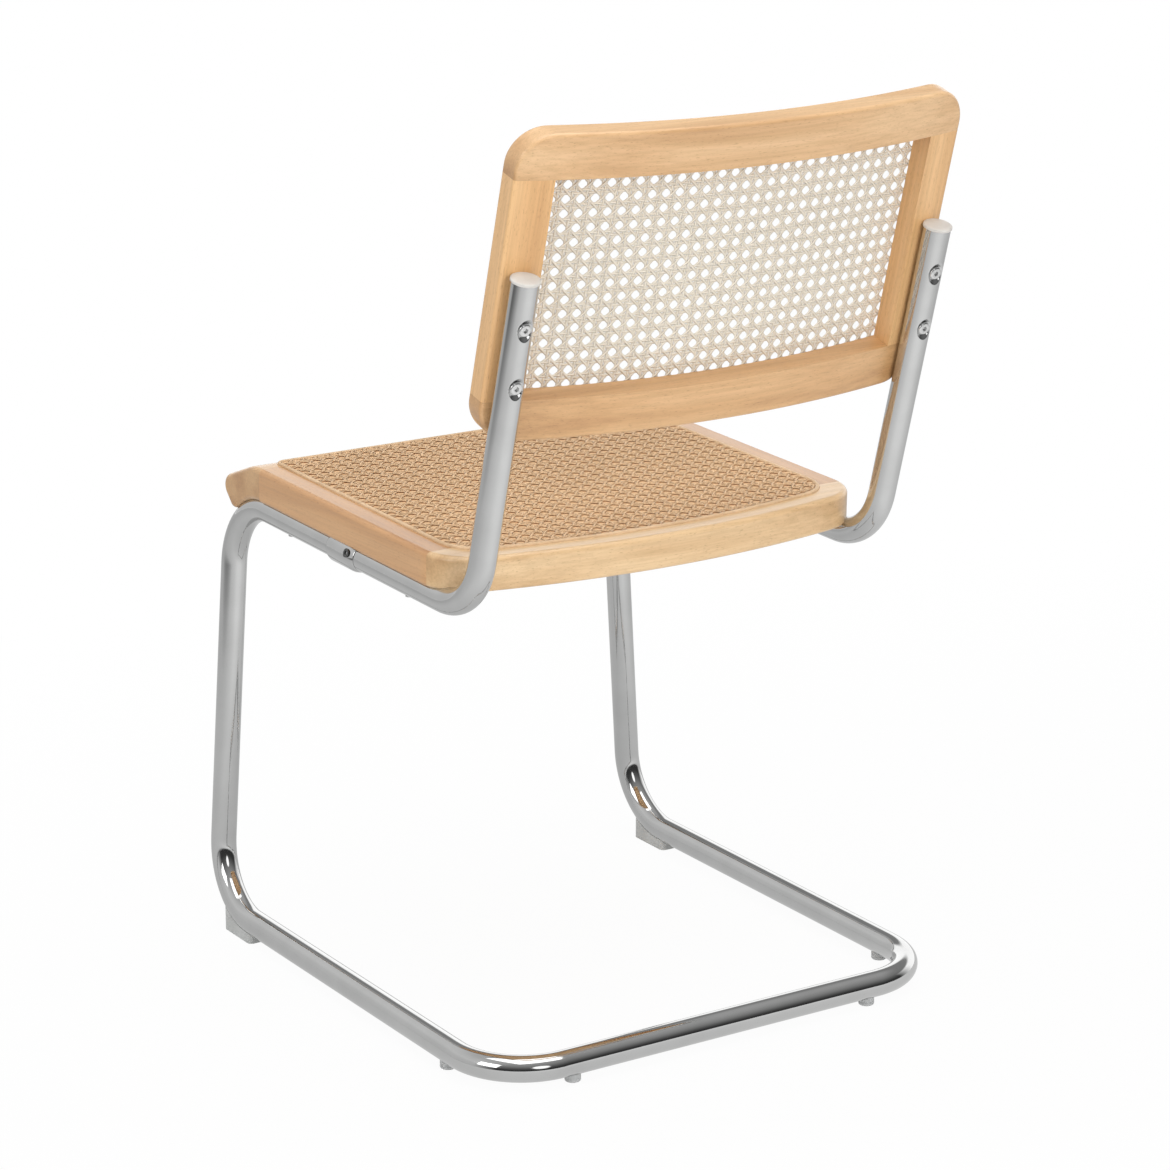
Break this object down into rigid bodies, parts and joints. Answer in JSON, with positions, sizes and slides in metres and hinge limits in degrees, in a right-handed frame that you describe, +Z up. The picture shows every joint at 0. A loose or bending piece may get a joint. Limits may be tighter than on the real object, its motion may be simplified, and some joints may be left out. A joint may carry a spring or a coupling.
{
  "type": "cantilever side chair",
  "caption": "Cantilever side chair: bent chromed tube frame with a beech seat and a curved beech back, both filled with woven cane.",
  "frame": {"origin": "on the floor under the middle of the chair's overall box", "axes": "+X to the sitter's left, +Y to the rear, +Z up"},
  "size_m": [0.51, 0.5856, 0.8658],
  "materials": {
    "chromed_tube": "bright polished",
    "beech": "clear satin lacquer",
    "cane": "natural woven cane",
    "net": "fine woven net",
    "reed": "natural reed",
    "cap_plastic": "off-white",
    "foot_plastic": "translucent grey-white",
    "glide_plastic": "clear",
    "bright_bolt": "zinc plated",
    "dark_bolt": "black oxide",
    "insert_brass": "plain"
  },
  "bodies": {
    "root": {"base_tube": "chromed_tube", "left_upper_tube": "chromed_tube", "right_upper_tube": "chromed_tube", "left_rail_collar": "chromed_tube", "right_rail_collar": "chromed_tube", "lock_bolts": "dark_bolt", "left_end_cap": "cap_plastic", "right_end_cap": "cap_plastic", "back_top_rail": "beech", "back_bottom_rail": "beech", "back_left_stile": "beech", "back_right_stile": "beech", "back_spline": "reed", "back_cane": "cane", "back_bolts": "bright_bolt", "back_inserts": "insert_brass", "back_dowels": "beech", "seat_front_rail": "beech", "seat_left_rail": "beech", "seat_right_rail": "beech", "seat_rear_rail": "beech", "seat_spline": "reed", "seat_cane": "cane", "seat_backing": "net", "seat_dowels": "beech", "seat_screws": "bright_bolt", "left_front_foot": "foot_plastic", "right_front_foot": "foot_plastic", "foot_screws": "bright_bolt", "left_runner_glide": "glide_plastic", "right_runner_glide": "glide_plastic", "left_bar_glide": "glide_plastic", "right_bar_glide": "glide_plastic"}
  },
  "joints": []
}
